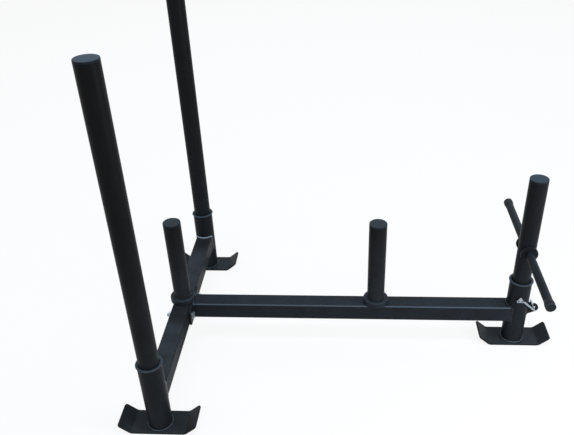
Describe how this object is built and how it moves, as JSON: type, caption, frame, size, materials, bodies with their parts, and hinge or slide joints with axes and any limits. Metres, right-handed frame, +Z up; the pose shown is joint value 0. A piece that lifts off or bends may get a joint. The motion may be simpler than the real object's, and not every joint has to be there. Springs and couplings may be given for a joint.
{
  "type": "weight sled",
  "caption": "Push-and-pull weight sled: T-shaped square-tube frame on bent skids, with lift-out push posts, a front post with a cross handle, plate posts and a tow hook.",
  "frame": {"origin": "on the floor, half way between the line of the two rear sockets and the front socket", "axes": "+X towards the tow end, +Y to the left side, +Z up"},
  "size_m": [1.1556, 0.775, 0.9544],
  "materials": {
    "black_powder_coat": "semi-matte black powder coat on steel",
    "black_moulded_plastic": "fine matte texture",
    "bright_zinc_plate": "bright zinc plate on steel"
  },
  "bodies": {
    "sled_frame": {"cross_member": "black_powder_coat", "spine": "black_powder_coat", "spine_flange": "black_powder_coat", "socket_left": "black_powder_coat", "socket_right": "black_powder_coat", "socket_front": "black_powder_coat", "skid_left": "black_powder_coat", "skid_right": "black_powder_coat", "skid_front": "black_powder_coat", "weight_post_rear": "black_powder_coat", "weight_post_mid": "black_powder_coat", "weight_ring_rear": "black_powder_coat", "weight_ring_mid": "black_powder_coat", "weight_post_cap_rear": "black_moulded_plastic", "weight_post_cap_mid": "black_moulded_plastic", "tow_tab": "black_powder_coat", "flange_bolt_left": "bright_zinc_plate", "flange_bolt_right": "bright_zinc_plate", "head_washer_left": "bright_zinc_plate", "head_washer_right": "bright_zinc_plate", "nut_washer_left": "bright_zinc_plate", "nut_washer_right": "bright_zinc_plate", "flange_nut_left": "bright_zinc_plate", "flange_nut_right": "bright_zinc_plate"},
    "left_push_post": {"push_post_left": "black_powder_coat", "push_post_left_cap": "black_moulded_plastic"},
    "right_push_post": {"push_post_right": "black_powder_coat", "push_post_right_cap": "black_moulded_plastic"},
    "front_handle_post": {"front_post": "black_powder_coat", "front_post_cap": "black_moulded_plastic", "handle_bar": "black_powder_coat", "handle_collar_left": "black_powder_coat", "handle_collar_right": "black_powder_coat", "handle_cap_left": "black_moulded_plastic", "handle_cap_right": "black_moulded_plastic"},
    "hook": {"snap_hook": "bright_zinc_plate", "gate_pin": "bright_zinc_plate"},
    "gate": {"hook_gate": "bright_zinc_plate"}
  },
  "joints": [
    {"name": "push_post_left_lift", "type": "slide", "parent": "sled_frame", "child": "left_push_post", "axis": [0, 0, 1], "range_m": [0, 0.23]},
    {"name": "push_post_right_lift", "type": "slide", "parent": "sled_frame", "child": "right_push_post", "axis": [0, 0, 1], "range_m": [0, 0.23]},
    {"name": "front_post_lift", "type": "slide", "parent": "sled_frame", "child": "front_handle_post", "axis": [0, 0, 1], "range_m": [0, 0.23]},
    {"name": "hook_swing", "type": "hinge", "parent": "sled_frame", "child": "hook", "pos_m": [0.5255, 0, 0.1083], "axis": [0, 1, 0], "range_deg": [0, 230]},
    {"name": "gate_open", "type": "hinge", "parent": "hook", "child": "gate", "pos_m": [0.52378, -0.0078, 0.11256], "axis": [-0.9272, 0, -0.3746], "range_deg": [0, 14], "stiffness_Nm_per_rad": 0.02, "springref_deg": -20.05}
  ]
}
